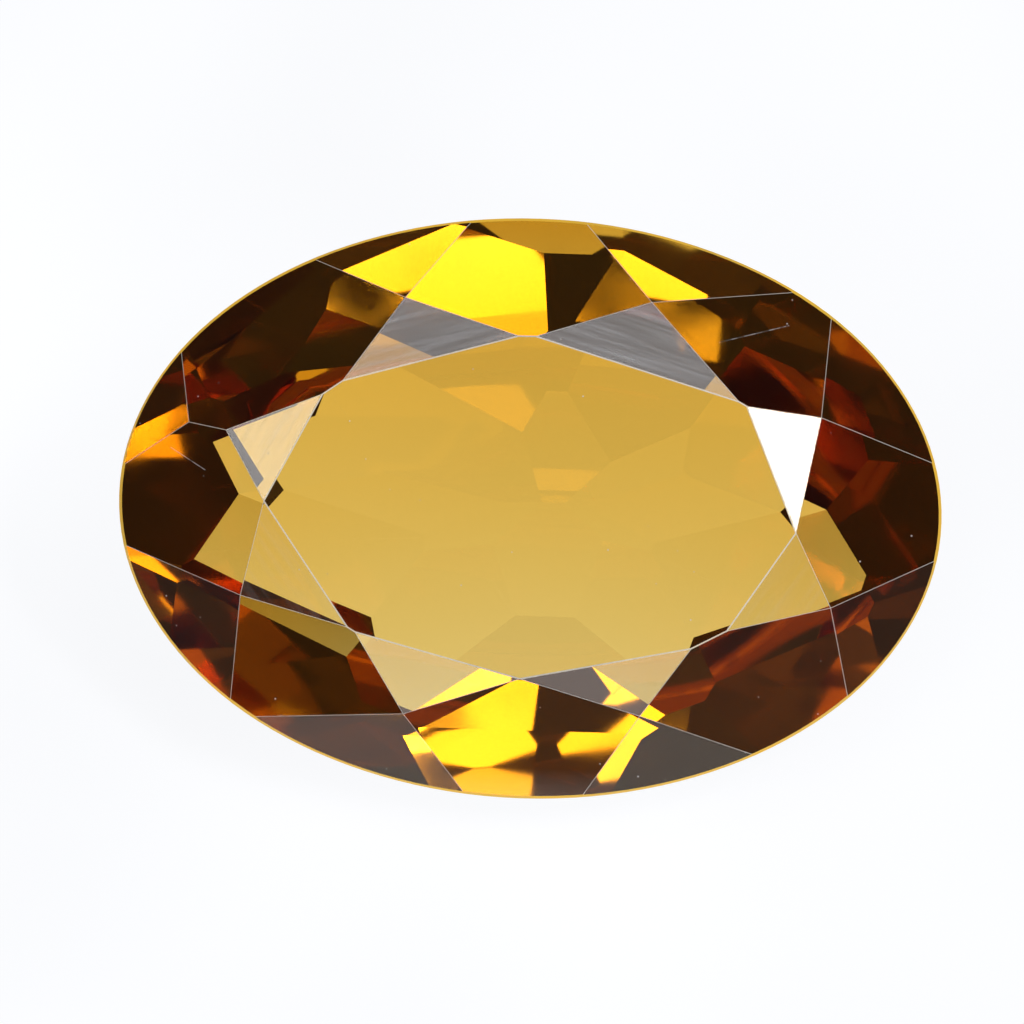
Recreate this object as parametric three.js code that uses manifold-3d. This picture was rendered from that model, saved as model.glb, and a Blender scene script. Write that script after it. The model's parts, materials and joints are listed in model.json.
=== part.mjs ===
// Smoky quartz cut as an oval stone, one solid.
// It is cut level, with the table up and the crown's base at zero, then tipped to lie on one pavilion facet.
// Lengths are in millimetres and angles in degrees. North is the far side of the stone, east its right end.
import * as THREE from "three";
import { mergeVertices } from "three/addons/utils/BufferGeometryUtils.js";
import manifoldModule from "manifold-3d";

const wasm = await manifoldModule();
wasm.setup();

// Size of the stone
const HALF_LENGTH = 7.05;
const HALF_WIDTH = 4.97;
const CROWN_HEIGHT = 1.45;
const GIRDLE_HEIGHT = 0.4;
const KEEL_DEPTH = 3.77;
const GIRDLE_SIDES = 144;

// Crown: height of the star facets' outer tips along the sides and at the ends,
// and how far the upper girdle facets dip below the crown's base
const SIDE_TIP = 0.69 * CROWN_HEIGHT;
const END_TIP = 0.79 * CROWN_HEIGHT;
const UPPER_GIRDLE_DROP = 0.15;

// Each star facet, counter-clockwise from the east: its table edge from start to end, then its outer tip.
// Neighbouring edges that stop short of each other leave a short edge to the main facet between them.
const STARS = [
  { start: [4.54, -0.26], end: [3.64, 1.84], tip: [4.91, 1.72], height: END_TIP },
  { start: [3.57, 1.92], end: [-0.02, 2.94], tip: [1.95, 3.59], height: SIDE_TIP },
  { start: [-0.31, 2.93], end: [-3.3, 2.06], tip: [-2.26, 3.53], height: SIDE_TIP },
  { start: [-3.62, 1.81], end: [-4.55, -0.03], tip: [-5.24, 1.16], height: END_TIP, ridgeEnd: [-5.56, 1.5] },
  { start: [-4.55, -0.03], end: [-3.03, -2.16], tip: [-4.9, -1.65], height: END_TIP },
  { start: [-2.87, -2.22], end: [-0.08, -2.91], tip: [-2.05, -3.58], height: SIDE_TIP },
  { start: [-0.08, -2.91], end: [2.89, -2.28], tip: [1.99, -3.48], height: SIDE_TIP },
  { start: [3.44, -1.94], end: [4.54, -0.26], tip: [5.18, -1.52], height: END_TIP },
];

// Pavilion, outer rows: cut in from the girdle all round, at places counted in degrees round the oval
const PAVILION_MAINS = [
  { name: "east", place: 0, angle: 42.4 },
  { name: "northEast", place: 43, angle: 46 },
  { name: "north", place: 90, angle: 46 },
  { name: "northWest", place: 137, angle: 42.5 },
  { name: "west", place: 180, angle: 40.8 },
  { name: "southWest", place: 221, angle: 41 },
  { name: "south", place: 270, angle: 43.7 },
  { name: "southEast", place: 319, angle: 43.6 },
];
const LOWER_GIRDLE_ANGLE = 46.7;
const LOWER_GIRDLE_PLACES = [22, 68, 113, 158, 202, 247, 293, 338];

// Pavilion, inner rows: the way each facet faces, its angle from level, and the plan point where it meets
// a facet already cut. The first six meet at the two ends of the short keel edge.
const KEEL_WEST = [0.2, 0.12];
const KEEL_EAST = [0.6, 0.12];
const WEST_MAIN_TIP = [-4.25, 0.17];
const EAST_MAIN_TIP = [4.3, 0.09];
const REST_ANGLE = 28;
const INNER_FACETS = [
  { name: "northKeel", faces: 90, angle: 33.7, meets: "keel", at: KEEL_WEST },
  { name: "southKeel", faces: 270, angle: REST_ANGLE, meets: "keel", at: KEEL_WEST },
  { name: "northWestKeel", faces: 108, angle: 32.4, meets: "keel", at: KEEL_WEST },
  { name: "southWestKeel", faces: 245, angle: 21.3, meets: "keel", at: KEEL_WEST },
  { name: "northEastKeel", faces: 67.5, angle: 26.8, meets: "keel", at: KEEL_EAST },
  { name: "southEastKeel", faces: 296, angle: 21.2, meets: "keel", at: KEEL_EAST },
  { name: "northLeft", faces: 100, angle: 36.9, meets: "northKeel", at: [-0.3, 1.11] },
  { name: "northRight", faces: 84, angle: 35.8, meets: "northKeel", at: [1.36, 0.84] },
  { name: "southLeft", faces: 257, angle: 30.7, meets: "southKeel", at: [-0.65, -0.55] },
  { name: "southRight", faces: 282.5, angle: 30.5, meets: "southKeel", at: [1.24, -0.63] },
  { name: "northOuter", faces: 90, angle: 36.8, meets: "northKeel", at: [0.3, 2.03] },
  { name: "southOuter", faces: 270, angle: 36.7, meets: "southKeel", at: [0.3, -1.85] },
  { name: "westKeel", faces: 180, angle: 18.2, meets: "west", at: WEST_MAIN_TIP },
  { name: "westUpper", faces: 140, angle: 27.4, meets: "west", at: WEST_MAIN_TIP },
  { name: "westLower", faces: 220, angle: 29.3, meets: "west", at: WEST_MAIN_TIP },
  { name: "eastKeel", faces: 0, angle: 19.7, meets: "east", at: EAST_MAIN_TIP },
  { name: "eastUpper", faces: 40, angle: 33.4, meets: "east", at: EAST_MAIN_TIP },
  { name: "eastLower", faces: 320, angle: 31.5, meets: "east", at: EAST_MAIN_TIP },
];

const CUTTER_SIZE = 40;
const radians = THREE.MathUtils.degToRad;

// Planes and solids

function raised([x, y], z) {
  return new THREE.Vector3(x, y, z);
}

function heightOn(plane, [x, y]) {
  return -(plane.constant + plane.normal.x * x + plane.normal.y * y) / plane.normal.z;
}

function planeThrough(a, b, c) {
  const plane = new THREE.Plane().setFromCoplanarPoints(a, b, c);
  return plane.normal.z < 0 ? plane.negate() : plane;
}

function pavilionPlane(heading, angle, point) {
  const normal = new THREE.Vector3(0, 0, -1);
  normal.applyAxisAngle(new THREE.Vector3(0, -1, 0), radians(angle));
  normal.applyAxisAngle(new THREE.Vector3(0, 0, 1), radians(heading));
  return new THREE.Plane().setFromNormalAndCoplanarPoint(normal, point);
}

function toSolid(geometry) {
  geometry.deleteAttribute("normal");
  geometry.deleteAttribute("uv");
  const welded = mergeVertices(geometry);
  return new wasm.Manifold(new wasm.Mesh({
    numProp: 3,
    vertProperties: new Float32Array(welded.attributes.position.array),
    triVerts: new Uint32Array(welded.index.array),
  }));
}

// A block standing on the outer side of a plane, to be taken off the stone
function cutter(plane) {
  const block = new THREE.BoxGeometry(CUTTER_SIZE, CUTTER_SIZE, CUTTER_SIZE);
  block.translate(0, 0, CUTTER_SIZE / 2);
  const turn = new THREE.Quaternion().setFromUnitVectors(new THREE.Vector3(0, 0, 1), plane.normal);
  const place = plane.coplanarPoint(new THREE.Vector3());
  block.applyMatrix4(new THREE.Matrix4().compose(place, turn, new THREE.Vector3(1, 1, 1)));
  return toSolid(block);
}

// The oval

function girdlePoint(degrees) {
  return [HALF_LENGTH * Math.cos(radians(degrees)), HALF_WIDTH * Math.sin(radians(degrees))];
}

function girdleHeading(degrees) {
  const across = Math.cos(radians(degrees)) / HALF_LENGTH;
  const along = Math.sin(radians(degrees)) / HALF_WIDTH;
  return THREE.MathUtils.radToDeg(Math.atan2(along, across));
}

// Upright oval block that holds the whole stone, its top at the table.
// The oval curve is sampled at two sides for each segment asked for.
function ovalBlock() {
  const depth = CROWN_HEIGHT + GIRDLE_HEIGHT + KEEL_DEPTH + 1;
  const oval = new THREE.Shape().absellipse(0, 0, HALF_LENGTH, HALF_WIDTH, 0, 2 * Math.PI);
  const settings = { depth, bevelEnabled: false, curveSegments: GIRDLE_SIDES / 2 };
  const block = new THREE.ExtrudeGeometry(oval, settings);
  block.translate(0, 0, CROWN_HEIGHT - depth);
  return toSolid(block);
}

// Crown: star facets round the table, main facets between them, upper girdle facets below

function starPlane(star) {
  const start = raised(star.start, CROWN_HEIGHT);
  const end = raised(star.end, CROWN_HEIGHT);
  return planeThrough(start, end, raised(star.tip, star.height));
}

function crownMainPlane(star, next) {
  const corner = raised(star.end, CROWN_HEIGHT).lerp(raised(next.start, CROWN_HEIGHT), 0.5);
  return planeThrough(corner, raised(star.tip, star.height), raised(next.tip, next.height));
}

function upperGirdlePlane(star, mainPlane) {
  const top = star.ridgeEnd ?? star.tip;
  const place = THREE.MathUtils.radToDeg(Math.atan2(top[1] / HALF_WIDTH, top[0] / HALF_LENGTH));
  const foot = raised(girdlePoint(place), -UPPER_GIRDLE_DROP);
  const heading = radians(girdleHeading(place));
  const level = new THREE.Vector3(-Math.sin(heading), Math.cos(heading), 0);
  return planeThrough(raised(top, heightOn(mainPlane, top)), foot, foot.clone().add(level));
}

function crownPlanes() {
  const planes = [];
  STARS.forEach((star, i) => {
    const next = STARS[(i + 1) % STARS.length];
    const mainPlane = crownMainPlane(star, next);
    planes.push(starPlane(star), mainPlane, upperGirdlePlane(star, mainPlane));
  });
  return planes;
}

// Pavilion: outer rows from the girdle, then inner rows down to the keel

function girdleRowPlane(place, angle) {
  return pavilionPlane(girdleHeading(place), angle, raised(girdlePoint(place), -GIRDLE_HEIGHT));
}

function pavilionPlanes() {
  const keelLevel = raised([0, 0], -GIRDLE_HEIGHT - KEEL_DEPTH);
  const planes = new Map([["keel", pavilionPlane(0, 0, keelLevel)]]);
  for (const facet of PAVILION_MAINS) {
    planes.set(facet.name, girdleRowPlane(facet.place, facet.angle));
  }
  for (const facet of INNER_FACETS) {
    const height = heightOn(planes.get(facet.meets), facet.at);
    planes.set(facet.name, pavilionPlane(facet.faces, facet.angle, raised(facet.at, height)));
  }
  const lowerGirdle = LOWER_GIRDLE_PLACES.map((place) => girdleRowPlane(place, LOWER_GIRDLE_ANGLE));
  return [...planes.values(), ...lowerGirdle];
}

function cutStone() {
  const planes = [...crownPlanes(), ...pavilionPlanes()];
  return planes.reduce((stone, plane) => stone.subtract(cutter(plane)), ovalBlock());
}

// The finished stone, tipped onto its south keel facet, on the floor and centred

function stoneGeometry() {
  const { vertProperties, triVerts } = cutStone().getMesh();
  const geometry = new THREE.BufferGeometry();
  geometry.setAttribute("position", new THREE.BufferAttribute(vertProperties, 3));
  geometry.setIndex(new THREE.BufferAttribute(triVerts, 1));
  geometry.rotateX(radians(REST_ANGLE));
  geometry.computeBoundingBox();
  const { min, max } = geometry.boundingBox;
  geometry.translate(-(min.x + max.x) / 2, -(min.y + max.y) / 2, -min.z);
  geometry.computeVertexNormals();
  return geometry;
}

const smokyQuartz = new THREE.MeshStandardMaterial({
  name: "smoky_quartz",
  color: new THREE.Color().setRGB(0.55, 0.36, 0.1),
  roughness: 0.05,
  transparent: true,
  opacity: 0.35,
  flatShading: true,
});

const gemstone = new THREE.Mesh(stoneGeometry(), smokyQuartz);
gemstone.name = "gemstone";

const part = new THREE.Group();
part.name = "smoky_quartz";
part.add(gemstone);

export default part;
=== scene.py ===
import json
import math

import bmesh
import bpy
from mathutils import Matrix, Vector


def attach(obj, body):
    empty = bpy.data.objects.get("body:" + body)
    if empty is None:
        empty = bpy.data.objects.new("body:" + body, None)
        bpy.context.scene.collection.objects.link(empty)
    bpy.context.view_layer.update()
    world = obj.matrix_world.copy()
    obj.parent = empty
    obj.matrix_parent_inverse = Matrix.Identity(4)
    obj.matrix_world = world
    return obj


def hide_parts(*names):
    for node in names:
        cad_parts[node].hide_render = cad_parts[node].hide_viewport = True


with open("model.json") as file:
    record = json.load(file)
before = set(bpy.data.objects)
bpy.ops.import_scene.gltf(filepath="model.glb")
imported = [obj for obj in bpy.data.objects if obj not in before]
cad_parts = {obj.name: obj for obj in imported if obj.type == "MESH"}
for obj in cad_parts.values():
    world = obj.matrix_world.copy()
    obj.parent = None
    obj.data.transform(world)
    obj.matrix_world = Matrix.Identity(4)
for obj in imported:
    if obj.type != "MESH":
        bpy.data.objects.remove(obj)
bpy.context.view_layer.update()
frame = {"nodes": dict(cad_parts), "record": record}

MM = 0.001
MOUNTS = {mount["name"]: mount for mount in frame["record"]["mounts"]}

# The stone's own directions: out of the table, along its length, and across it towards the far side
TABLE_UP = Vector(MOUNTS["table"]["axis"]).normalized()
EAST = Vector((1, 0, 0))
NORTH = TABLE_UP.cross(EAST)

# Camera: the width it takes in, how far it is, its roll, and where the stone's centre falls in the view
VIEW_WIDTH = 17.46 * MM
VIEW_DISTANCE = 300 * MM
VIEW_ROLL = math.radians(2.0)
STONE_IN_VIEW = (0.315 * MM, 0.06 * MM)

# Stone shape
WELD_DISTANCE = 1e-7
FLAT_ANGLE = math.radians(0.3)
TABLE_EDGE_WEAR = 0.026 * MM
CROWN_EDGE_WEAR = 0.011 * MM
GIRDLE_EDGE_WEAR = 0.1 * MM
SHORTEST_WORN_EDGE = 0.05 * MM

# Quartz
QUARTZ_IOR = 1.55
ABSORPTION_PER_METRE = (34, 116, 430)

# Polishing haze on the star facets, and the end points of two scratches, in plan millimetres
STAR_HAZE = 0.4
SCRATCHES = [((-6.18, 0.83), (-5.57, 0.46)), ((3.13, 2.95), (4.31, 3.28))]
SCRATCH_WIDTH = 0.01

# Floor and lights
FLOOR_SIZE = 2.0
FLOOR_GAP = 0.008 * MM
FLOOR_GLOW = 0.97
GLOW_EDGE = (11.5 * MM, 14 * MM)
LAMP_DISTANCE = 250 * MM
RIGHT_LIGHT = 4.4
LEFT_LIGHT = 4.4
LOW_LIGHT = 2.6
FAR_LIGHT = 3.0
NEAR_LIGHT = 2.5
KEY_LIGHT = 26.0
WEST_LIGHT = 5.0
DIM_ROOM = 0.04
BACKDROP = 0.9


def stone_direction(east, north, up):
    """A direction given in the stone's own level frame."""
    return (EAST * east + NORTH * north + TABLE_UP * up).normalized()


def stone_centre(node):
    """Middle of the girdle's outline, at the height of the table."""
    places = [node.matrix_world @ vertex.co for vertex in node.data.vertices]
    centre = Vector()
    for direction in (EAST, NORTH):
        reach = [place.dot(direction) for place in places]
        centre += direction * (min(reach) + max(reach)) / 2
    return centre + TABLE_UP * max(place.dot(TABLE_UP) for place in places)


CENTRE = stone_centre(frame["nodes"]["gemstone"])


# Nodes

def new_material(name):
    material = bpy.data.materials.new(name)
    material.use_nodes = True
    tree = material.node_tree
    tree.nodes.clear()
    return material, tree


def add_node(tree, kind, **inputs):
    node = tree.nodes.new(kind)
    for name, value in inputs.items():
        node.inputs[name.replace("_", " ")].default_value = value
    return node


def maths(tree, operation, *values):
    node = tree.nodes.new("ShaderNodeMath")
    node.operation = operation
    for socket, value in zip(node.inputs, values):
        if isinstance(value, (int, float)):
            socket.default_value = value
        else:
            tree.links.new(value, socket)
    return node.outputs[0]


def vector_maths(tree, operation, *values):
    node = tree.nodes.new("ShaderNodeVectorMath")
    node.operation = operation
    for socket, value in zip(node.inputs, values):
        if isinstance(value, tuple):
            socket.default_value = value
        else:
            tree.links.new(value, socket)
    return node.outputs["Value" if operation in ("DOT_PRODUCT", "LENGTH", "DISTANCE") else "Vector"]


def remap(tree, value, low, high, to_low, to_high):
    node = tree.nodes.new("ShaderNodeMapRange")
    for name, number in zip(("From Min", "From Max", "To Min", "To Max"), (low, high, to_low, to_high)):
        node.inputs[name].default_value = number
    tree.links.new(value, node.inputs["Value"])
    return node.outputs["Result"]


def uv_place(tree, name, scale=(1, 1, 1)):
    node = tree.nodes.new("ShaderNodeUVMap")
    node.uv_map = name
    return vector_maths(tree, "MULTIPLY", node.outputs["UV"], scale)


def noise(tree, place, scale, detail=2.0):
    node = add_node(tree, "ShaderNodeTexNoise", Scale=scale, Detail=detail)
    tree.links.new(place, node.inputs["Vector"])
    return node.outputs["Fac"]


def attribute(tree, name):
    node = tree.nodes.new("ShaderNodeAttribute")
    node.attribute_name = name
    return node.outputs["Fac"]


def blend(tree, share, first, second):
    node = tree.nodes.new("ShaderNodeMixShader")
    tree.links.new(share, node.inputs[0])
    tree.links.new(first, node.inputs[1])
    tree.links.new(second, node.inputs[2])
    return node.outputs[0]


def finish_material(tree, surface, volume=None):
    output = add_node(tree, "ShaderNodeOutputMaterial")
    tree.links.new(surface, output.inputs["Surface"])
    if volume:
        tree.links.new(volume, output.inputs["Volume"])


# Materials

def quartz_volume(tree):
    strength = max(ABSORPTION_PER_METRE)
    tint = [1 - share / strength for share in ABSORPTION_PER_METRE]
    return add_node(tree, "ShaderNodeVolumeAbsorption", Color=(*tint, 1), Density=strength).outputs[0]


def frosting(tree, colour, transmission):
    """Quartz whose surface is finely scratched and scatters light."""
    node = add_node(
        tree,
        "ShaderNodeBsdfPrincipled",
        Base_Color=(*colour, 1),
        IOR=QUARTZ_IOR,
        Transmission_Weight=transmission,
    )
    grain = noise(tree, uv_place(tree, "plan"), 9.0)
    tree.links.new(remap(tree, grain, 0.3, 0.7, 0.3, 0.55), node.inputs["Roughness"])
    bump = add_node(tree, "ShaderNodeBump", Strength=0.3, Distance=0.01 * MM)
    tree.links.new(grain, bump.inputs["Height"])
    tree.links.new(bump.outputs[0], node.inputs["Normal"])
    return node.outputs[0]


def polishing_streaks(tree):
    """Fine parallel lines left by polishing, as a share from none to all."""
    fine = noise(tree, uv_place(tree, "polish", (0.5, 11, 1)), 1.0, 4.0)
    broad = noise(tree, uv_place(tree, "polish", (0.4, 2.2, 1)), 1.0)
    lines = remap(tree, fine, 0.42, 0.68, 0.25, 1.0)
    patches = remap(tree, broad, 0.3, 0.7, 0.4, 1.0)
    return maths(tree, "MULTIPLY", maths(tree, "MULTIPLY", lines, patches), attribute(tree, "haze"))


def specks(tree):
    """Small chips and dust spots, gathered in clusters."""
    place = uv_place(tree, "plan")
    cells = add_node(tree, "ShaderNodeTexVoronoi", Scale=3.2)
    tree.links.new(place, cells.inputs["Vector"])
    spots = remap(tree, cells.outputs["Distance"], 0.025, 0.06, 1.0, 0.0)
    clusters = remap(tree, noise(tree, place, 0.55), 0.5, 0.58, 0.0, 0.9)
    return maths(tree, "MULTIPLY", spots, clusters)


def scratch(tree, start, end):
    """A thin line between two plan points."""
    along = Vector(end) - Vector(start)
    place = vector_maths(tree, "SUBTRACT", uv_place(tree, "plan"), (*start, 0))
    share = vector_maths(tree, "DOT_PRODUCT", place, (*(along / along.length_squared), 0))
    held = maths(tree, "MINIMUM", maths(tree, "MAXIMUM", share, 0), 1)
    nearest = add_node(tree, "ShaderNodeCombineXYZ")
    for axis, length in zip("XY", along):
        tree.links.new(maths(tree, "MULTIPLY", held, length), nearest.inputs[axis])
    distance = vector_maths(tree, "DISTANCE", place, nearest.outputs[0])
    line = remap(tree, distance, SCRATCH_WIDTH / 2, SCRATCH_WIDTH, 0.5, 0.0)
    return maths(tree, "MULTIPLY", line, remap(tree, noise(tree, place, 6.0), 0.4, 0.6, 0.2, 1.0))


def clear_quartz(tree):
    return add_node(
        tree,
        "ShaderNodeBsdfPrincipled",
        Base_Color=(1, 1, 1, 1),
        Roughness=0.0,
        IOR=QUARTZ_IOR,
        Transmission_Weight=1.0,
    )


def polished_crown():
    """Clear facets with streaks of polish, specks and scratches."""
    material, tree = new_material("polished_crown")
    clear = clear_quartz(tree)
    marks = specks(tree)
    for start, end in SCRATCHES:
        marks = maths(tree, "MAXIMUM", marks, scratch(tree, start, end))
    scuffs = maths(tree, "MAXIMUM", marks, polishing_streaks(tree))
    surface = blend(tree, scuffs, clear.outputs[0], frosting(tree, (0.78, 0.8, 0.86), 0.1))
    finish_material(tree, surface, quartz_volume(tree))
    return material


def polished_pavilion():
    """Clear facets whose polish is a little uneven, so what they mirror looks soft."""
    material, tree = new_material("polished_pavilion")
    clear = clear_quartz(tree)
    wave = noise(tree, uv_place(tree, "plan"), 0.7, 0.0)
    tree.links.new(remap(tree, wave, 0.3, 0.7, 0.02, 0.07), clear.inputs["Roughness"])
    finish_material(tree, clear.outputs[0], quartz_volume(tree))
    return material


def worn_edge():
    material, tree = new_material("worn_edge")
    finish_material(tree, frosting(tree, (0.97, 0.96, 0.94), 0.4), quartz_volume(tree))
    return material


def girdle_edge():
    """The frosted girdle, with a painted golden glow standing in for light carried inside the stone that
    would leak out.
    """
    material, tree = new_material("girdle_edge")
    # Painted glow: a golden emission on the girdle's outer side stands in for light carried inside the
    # stone; the girdle is no lamp.
    glow = add_node(tree, "ShaderNodeEmission", Color=(1.0, 0.55, 0.05, 1), Strength=0.9)
    share = remap(tree, noise(tree, uv_place(tree, "plan"), 0.8), 0.3, 0.7, 0.35, 0.65)
    inside = tree.nodes.new("ShaderNodeNewGeometry").outputs["Backfacing"]
    # How much painted glow shows: patchy, and none on the side facing into the stone.
    painted_glow_share = maths(tree, "MULTIPLY", share, maths(tree, "SUBTRACT", 1, inside))
    surface = blend(tree, painted_glow_share, frosting(tree, (0.98, 0.66, 0.08), 0.0), glow.outputs[0])
    finish_material(tree, surface, quartz_volume(tree))
    return material


def pale_floor():
    """A floor lit from below round the stone, pale all over to the camera."""
    material, tree = new_material("pale_floor")
    surface = add_node(
        tree,
        "ShaderNodeBsdfPrincipled",
        Base_Color=(0.08, 0.08, 0.085, 1),
        Roughness=0.7,
        Specular_IOR_Level=0.0,
        Emission_Color=(0.97, 0.98, 1, 1),
    )
    place = tree.nodes.new("ShaderNodeNewGeometry").outputs["Position"]
    cloud = remap(tree, noise(tree, place, 90.0, 1.0), 0.3, 0.7, FLOOR_GLOW - 0.05, FLOOR_GLOW)
    reach = vector_maths(tree, "LENGTH", vector_maths(tree, "MULTIPLY", place, (1, 1, 0)))
    pool = remap(tree, reach, *GLOW_EDGE, 1.0, 0.1)
    seen = tree.nodes.new("ShaderNodeLightPath").outputs["Is Camera Ray"]
    glow = maths(tree, "MULTIPLY", cloud, maths(tree, "MAXIMUM", pool, seen))
    tree.links.new(glow, surface.inputs["Emission Strength"])
    grain = noise(tree, place, 900.0)
    tree.links.new(remap(tree, grain, 0.3, 0.7, 0.6, 0.8), surface.inputs["Roughness"])
    finish_material(tree, surface.outputs[0])
    material.cycles.emission_sampling = "NONE"
    return material


# Stone

# Places of the materials on the stone
CROWN, WORN, GIRDLE, PAVILION = range(4)


def flat_facets(node):
    """The solid's triangles, joined into one flat polygon for each facet."""
    bm = bmesh.new()
    bm.from_mesh(node.data)
    bmesh.ops.remove_doubles(bm, verts=bm.verts, dist=WELD_DISTANCE)
    bmesh.ops.dissolve_limit(bm, angle_limit=FLAT_ANGLE, verts=bm.verts, edges=bm.edges)
    bm.normal_update()
    return bm


def kind_of(face):
    """Which part of the stone a facet belongs to."""
    rise = face.normal.dot(TABLE_UP)
    if rise > 0.3:
        return "crown"
    if rise > -0.2:
        return "girdle"
    return "pavilion"


def is_table(face):
    return face.normal.dot(TABLE_UP) > 0.999


def worn_cuts(bm):
    """Planes of the narrow flats worn along the crown's edges and round the girdle."""
    cuts = []
    for edge in bm.edges:
        first, second = edge.link_faces
        kinds = {kind_of(first), kind_of(second)}
        half_angle = first.normal.angle(second.normal) / 2
        if kinds in ({"pavilion"}, {"girdle"}) or half_angle < FLAT_ANGLE:
            continue
        if edge.calc_length() < SHORTEST_WORN_EDGE:
            continue
        on_girdle = kinds != {"crown"}
        if on_girdle:
            width = GIRDLE_EDGE_WEAR
        else:
            width = TABLE_EDGE_WEAR if is_table(first) or is_table(second) else CROWN_EDGE_WEAR
        across = (first.normal + second.normal).normalized()
        depth = width / 2 * math.tan(half_angle)
        cuts.append((edge.verts[0].co - across * depth, across, GIRDLE if on_girdle else WORN))
    return cuts


def wear_edges(bm):
    for place, across, material in worn_cuts(bm):
        geometry = bm.verts[:] + bm.edges[:] + bm.faces[:]
        cut = bmesh.ops.bisect_plane(
            bm, geom=geometry, dist=1e-9, plane_co=place, plane_no=across, clear_outer=True
        )
        rim = [part for part in cut["geom_cut"] if isinstance(part, bmesh.types.BMEdge)]
        filled = bmesh.ops.edgeloop_fill(bm, edges=rim)
        for face in filled["faces"]:
            face.material_index = material
    bm.normal_update()


def is_star(face):
    """Star facets are the crown facets that lie flattest beside the table."""
    return face.normal.dot(TABLE_UP) > 0.9 and not is_table(face)


def polish_direction(face):
    """The way a facet was drawn over the lap: level, round the stone."""
    level = TABLE_UP.cross(face.normal)
    return level.normalized() if level.length > 0.01 else EAST


def facet_haze(face):
    """Haze is left on the star facets only, most on the far side."""
    if not is_star(face):
        return 0.0
    return STAR_HAZE * max(0.0, 0.45 + 1.4 * face.normal.dot(NORTH))


def lay_out_maps(bm):
    """Plan and polish maps in millimetres, and each facet's polishing haze."""
    plan = bm.loops.layers.uv.new("plan")
    polish = bm.loops.layers.uv.new("polish")
    haze = bm.faces.layers.float.new("haze")
    for face in bm.faces:
        face[haze] = facet_haze(face)
        along = polish_direction(face)
        across = face.normal.cross(along)
        for loop in face.loops:
            place = (loop.vert.co - CENTRE) / MM
            loop[plan].uv = (place.dot(EAST), place.dot(NORTH))
            loop[polish].uv = (place.dot(along), place.dot(across))


def share_materials(bm):
    """Gives the girdle and the pavilion their own materials."""
    places = {"girdle": GIRDLE, "pavilion": PAVILION}
    for face in bm.faces:
        face.material_index = places.get(kind_of(face), face.material_index)


def build_stone():
    bm = flat_facets(frame["nodes"]["gemstone"])
    wear_edges(bm)
    share_materials(bm)
    lay_out_maps(bm)
    mesh = bpy.data.meshes.new("cut_stone")
    bm.to_mesh(mesh)
    bm.free()
    stone = bpy.data.objects.new("cut_stone", mesh)
    bpy.context.scene.collection.objects.link(stone)
    for material in (polished_crown(), worn_edge(), girdle_edge(), polished_pavilion()):
        mesh.materials.append(material)
    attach(stone, "root")
    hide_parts("gemstone")


# Stage

def build_floor():
    mesh = bpy.data.meshes.new("floor")
    half = FLOOR_SIZE / 2
    corners = [(x, y, -FLOOR_GAP) for x, y in ((-half, -half), (half, -half), (half, half), (-half, half))]
    mesh.from_pydata(corners, [], [(0, 1, 2, 3)])
    floor = bpy.data.objects.new("floor", mesh)
    bpy.context.scene.collection.objects.link(floor)
    mesh.materials.append(pale_floor())


def panel_light(name, direction, width, height, radiance):
    """A flat soft light of a given brightness that faces the stone."""
    data = bpy.data.lights.new(name, "AREA")
    data.shape = "RECTANGLE"
    data.size = width
    data.size_y = height
    data.energy = radiance * math.pi * width * height
    lamp = bpy.data.objects.new(name, data)
    bpy.context.scene.collection.objects.link(lamp)
    right = NORTH.cross(direction).normalized()
    over = direction.cross(right)
    turn = Matrix((right, over, direction)).transposed().to_4x4()
    lamp.matrix_world = Matrix.Translation(CENTRE + direction * LAMP_DISTANCE) @ turn
    lamp.visible_camera = False


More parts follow.
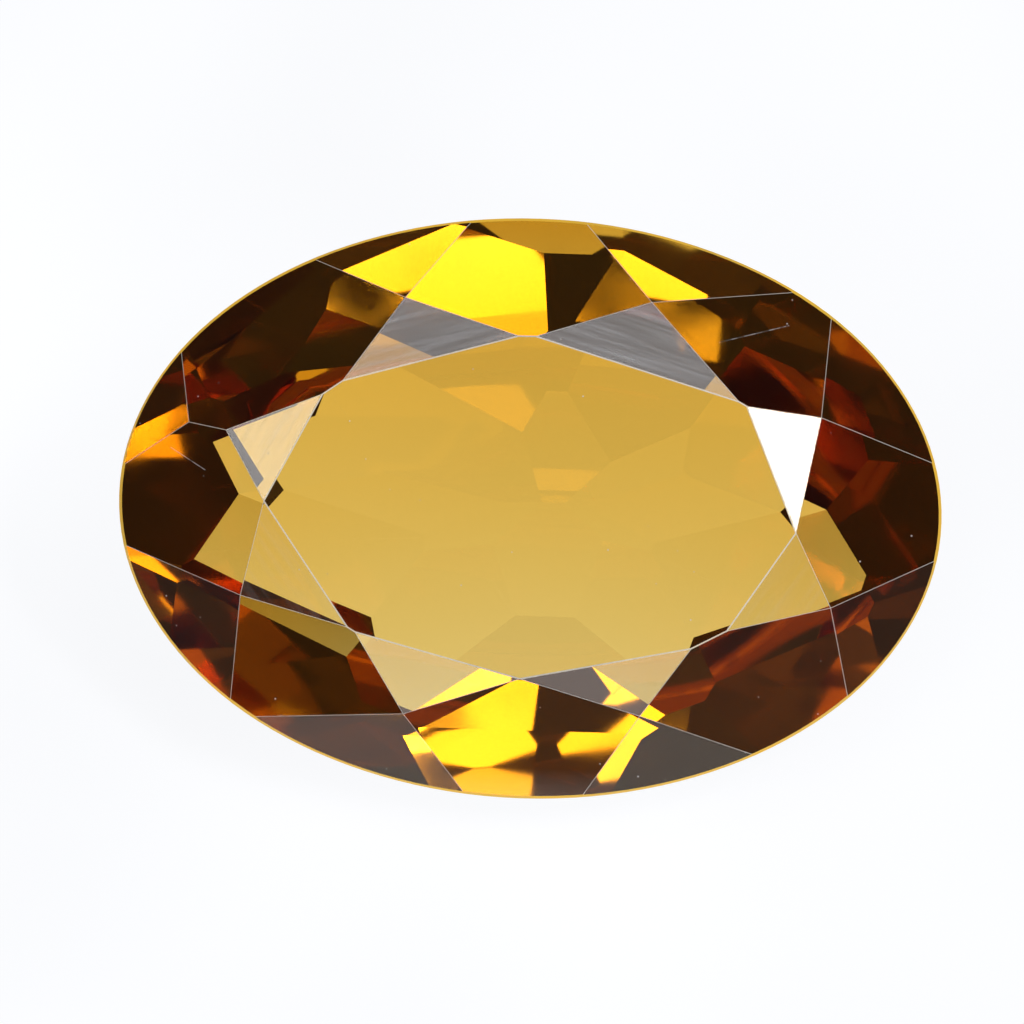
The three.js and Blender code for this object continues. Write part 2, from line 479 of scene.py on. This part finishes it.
def build_lights():
    panel_light("right_light", stone_direction(0.26, 0.31, 0.915), 52 * MM, 100 * MM, RIGHT_LIGHT)
    panel_light("left_light", stone_direction(-0.23, 0.27, 0.935), 54 * MM, 76 * MM, LEFT_LIGHT)
    panel_light("low_light", stone_direction(0.22, -0.22, 0.95), 36 * MM, 44 * MM, LOW_LIGHT)
    panel_light("far_light", stone_direction(0, 0.66, 0.73), 150 * MM, 50 * MM, FAR_LIGHT)
    panel_light("near_light", stone_direction(0, -0.69, 0.724), 170 * MM, 60 * MM, NEAR_LIGHT)
    panel_light("key_light", stone_direction(0.49, 0.28, 0.825), 34 * MM, 80 * MM, KEY_LIGHT)
    panel_light("west_light", stone_direction(-0.441, 0.223, 0.870), 26 * MM, 26 * MM, WEST_LIGHT)


def build_world():
    """A dim room that lights the stone hardly at all, with a pale backdrop behind it."""
    world = bpy.data.worlds.new("studio")
    bpy.context.scene.world = world
    world.use_nodes = True
    world.cycles.sampling_method = "NONE"
    tree = world.node_tree
    background = tree.nodes["Background"]
    background.inputs["Color"].default_value = (0.93, 0.96, 1.0, 1)
    seen = tree.nodes.new("ShaderNodeLightPath").outputs["Is Camera Ray"]
    tree.links.new(remap(tree, seen, 0, 1, DIM_ROOM, BACKDROP), background.inputs["Strength"])


def build_camera():
    data = bpy.data.cameras.new("camera")
    data.sensor_width = 36
    data.lens = data.sensor_width * VIEW_DISTANCE / VIEW_WIDTH
    data.clip_start = VIEW_DISTANCE / 100
    data.clip_end = VIEW_DISTANCE * 10
    camera = bpy.data.objects.new("camera", data)
    bpy.context.scene.collection.objects.link(camera)
    right = EAST * math.cos(VIEW_ROLL) + NORTH * math.sin(VIEW_ROLL)
    over = NORTH * math.cos(VIEW_ROLL) - EAST * math.sin(VIEW_ROLL)
    turn = Matrix((right, over, TABLE_UP)).transposed().to_4x4()
    place = CENTRE + TABLE_UP * VIEW_DISTANCE
    place -= right * STONE_IN_VIEW[0] + over * STONE_IN_VIEW[1]
    camera.matrix_world = Matrix.Translation(place) @ turn
    bpy.context.scene.camera = camera


def set_light_paths():
    scene = bpy.context.scene
    scene.view_settings.view_transform = "Standard"
    scene.cycles.adaptive_threshold = 0.1
    scene.cycles.max_bounces = 10
    scene.cycles.transmission_bounces = 10
    scene.cycles.glossy_bounces = 10


build_camera()
build_stone()
build_floor()
build_lights()
build_world()
set_light_paths()
